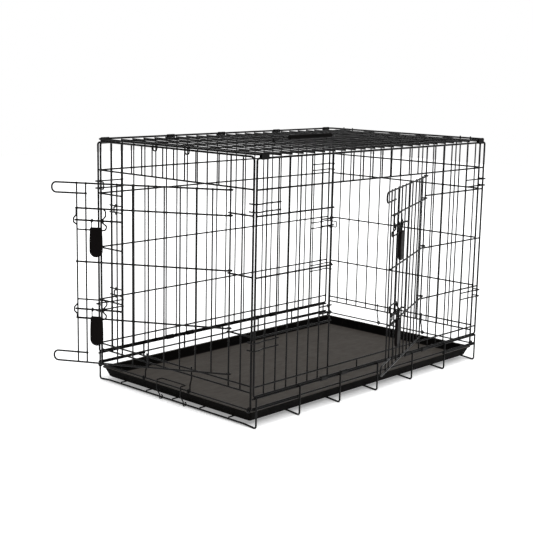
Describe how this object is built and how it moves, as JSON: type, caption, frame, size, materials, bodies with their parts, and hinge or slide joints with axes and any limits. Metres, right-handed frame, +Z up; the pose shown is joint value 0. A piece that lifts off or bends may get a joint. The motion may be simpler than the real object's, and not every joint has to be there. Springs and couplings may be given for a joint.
{
  "type": "wire dog crate",
  "caption": "Folding wire dog crate with open end and side doors, slide latches, slide-out floor pan and carry handle",
  "frame": {"origin": "centre of the base on the floor", "axes": "+X along the crate away from the end door, +Y to the back, +Z up"},
  "size_m": [1.1435, 0.7453, 0.6509],
  "materials": {
    "black_steel": "gloss black electro-coat",
    "clip_steel": "satin black sheet steel",
    "pan_plastic": "matte black moulded plastic",
    "latch_plastic": "dark charcoal moulded plastic",
    "grip_plastic": "matte black moulded plastic"
  },
  "bodies": {
    "basket": {"base_side_rails": "black_steel", "base_cross_wires": "black_steel", "base_end_wires": "black_steel", "base_floor_wires": "black_steel", "front_base_clips": "clip_steel", "back_base_clips": "clip_steel", "front_panel_frame": "black_steel", "front_panel_rods": "black_steel", "front_panel_rails": "black_steel", "front_panel_door_uprights": "black_steel", "front_panel_catches": "black_steel", "front_corner_locks": "black_steel", "back_panel_frame": "black_steel", "back_panel_rods": "black_steel", "back_panel_rails": "black_steel", "back_corner_locks": "black_steel"},
    "left_end": {"left_end_frame": "black_steel", "left_end_rods": "black_steel", "left_end_rails": "black_steel", "left_end_door_uprights": "black_steel", "left_end_catches": "black_steel", "left_end_hinge_loops": "black_steel"},
    "right_end": {"right_end_frame": "black_steel", "right_end_rods": "black_steel", "right_end_rails": "black_steel", "right_end_hinge_loops": "black_steel"},
    "roof": {"roof_frame": "black_steel", "roof_rods": "black_steel", "roof_rails": "black_steel", "roof_end_catches": "black_steel", "roof_hinge_clips": "clip_steel", "roof_hook_clips": "clip_steel"},
    "carry_handle": {"carry_handle_bail": "black_steel", "carry_handle_grip": "grip_plastic"},
    "pan": {"pan_floor": "pan_plastic", "pan_walls": "pan_plastic", "pan_lip": "pan_plastic"},
    "pan_stop": {"pan_stop": "black_steel"},
    "end_door": {"end_door_rails": "black_steel", "end_door_prong_rails": "black_steel", "end_door_rods": "black_steel", "end_door_bolt_guides": "black_steel"},
    "side_door": {"side_door_rails": "black_steel", "side_door_prong_rails": "black_steel", "side_door_rods": "black_steel", "side_door_bolt_guides": "black_steel"},
    "end_door_upper_bolt": {"end_door_upper_bolt": "black_steel"},
    "end_door_upper_paddle": {"end_door_upper_hanger": "black_steel", "end_door_upper_paddle": "latch_plastic"},
    "end_door_lower_bolt": {"end_door_lower_bolt": "black_steel"},
    "end_door_lower_paddle": {"end_door_lower_hanger": "black_steel", "end_door_lower_paddle": "latch_plastic"},
    "side_door_upper_bolt": {"side_door_upper_bolt": "black_steel"},
    "side_door_upper_paddle": {"side_door_upper_hanger": "black_steel", "side_door_upper_paddle": "latch_plastic"},
    "side_door_lower_bolt": {"side_door_lower_bolt": "black_steel"},
    "side_door_lower_paddle": {"side_door_lower_hanger": "black_steel", "side_door_lower_paddle": "latch_plastic"}
  },
  "joints": [
    {"name": "end_door_swing", "type": "hinge", "parent": "left_end", "child": "end_door", "pos_m": [-0.45208, -0.19425, 0.33], "axis": [0, 0, 1], "range_deg": [-29.7, 135]},
    {"name": "side_door_swing", "type": "hinge", "parent": "basket", "child": "side_door", "pos_m": [0.1905, -0.27698, 0.33], "axis": [0, 0, 1], "range_deg": [-23.4, 140]},
    {"name": "end_door_upper_bolt_slide", "type": "slide", "parent": "end_door", "child": "end_door_upper_bolt", "axis": [-0.4955, 0.8686, 0], "range_m": [0, 0.034]},
    {"name": "end_door_upper_paddle_swing", "type": "hinge", "parent": "end_door_upper_bolt", "child": "end_door_upper_paddle", "pos_m": [-0.61918, 0.08171, 0.46], "axis": [-0.4955, 0.8686, 0], "range_deg": [0, 115]},
    {"name": "end_door_lower_bolt_slide", "type": "slide", "parent": "end_door", "child": "end_door_lower_bolt", "axis": [-0.4955, 0.8686, 0], "range_m": [0, 0.034]},
    {"name": "end_door_lower_paddle_swing", "type": "hinge", "parent": "end_door_lower_bolt", "child": "end_door_lower_paddle", "pos_m": [-0.61918, 0.08171, 0.246], "axis": [-0.4955, 0.8686, 0], "range_deg": [0, 115]},
    {"name": "side_door_upper_bolt_slide", "type": "slide", "parent": "side_door", "child": "side_door_upper_bolt", "axis": [-0.9178, -0.3971, 0], "range_m": [0, 0.034]},
    {"name": "side_door_upper_paddle_swing", "type": "hinge", "parent": "side_door_upper_bolt", "child": "side_door_upper_paddle", "pos_m": [-0.10213, -0.41279, 0.46], "axis": [-0.9178, -0.3971, 0], "range_deg": [0, 115]},
    {"name": "side_door_lower_bolt_slide", "type": "slide", "parent": "side_door", "child": "side_door_lower_bolt", "axis": [-0.9178, -0.3971, 0], "range_m": [0, 0.034]},
    {"name": "side_door_lower_paddle_swing", "type": "hinge", "parent": "side_door_lower_bolt", "child": "side_door_lower_paddle", "pos_m": [-0.10213, -0.41279, 0.246], "axis": [-0.9178, -0.3971, 0], "range_deg": [0, 115]},
    {"name": "pan_slide", "type": "slide", "parent": "basket", "child": "pan", "axis": [1, 0, 0], "range_m": [0, 0.85]},
    {"name": "pan_stop_swing", "type": "hinge", "parent": "basket", "child": "pan_stop", "pos_m": [-0.4518, 0, 0.005], "axis": [0, -1, 0], "range_deg": [0, 88]},
    {"name": "roof_lift", "type": "hinge", "parent": "basket", "child": "roof", "pos_m": [0, 0.2815, 0.6244], "axis": [-1, 0, 0], "range_deg": [0, 172]},
    {"name": "carry_handle_swing", "type": "hinge", "parent": "roof", "child": "carry_handle", "pos_m": [0, 0, 0.6338], "axis": [-1, 0, 0], "range_deg": [0, 150]},
    {"name": "left_end_fold", "type": "hinge", "parent": "basket", "child": "left_end", "pos_m": [-0.4615, 0, 0.0455], "axis": [0, -1, 0], "range_deg": [-85, 0]},
    {"name": "right_end_fold", "type": "hinge", "parent": "basket", "child": "right_end", "pos_m": [0.4615, 0, 0.0455], "axis": [0, -1, 0], "range_deg": [0, 85]}
  ]
}
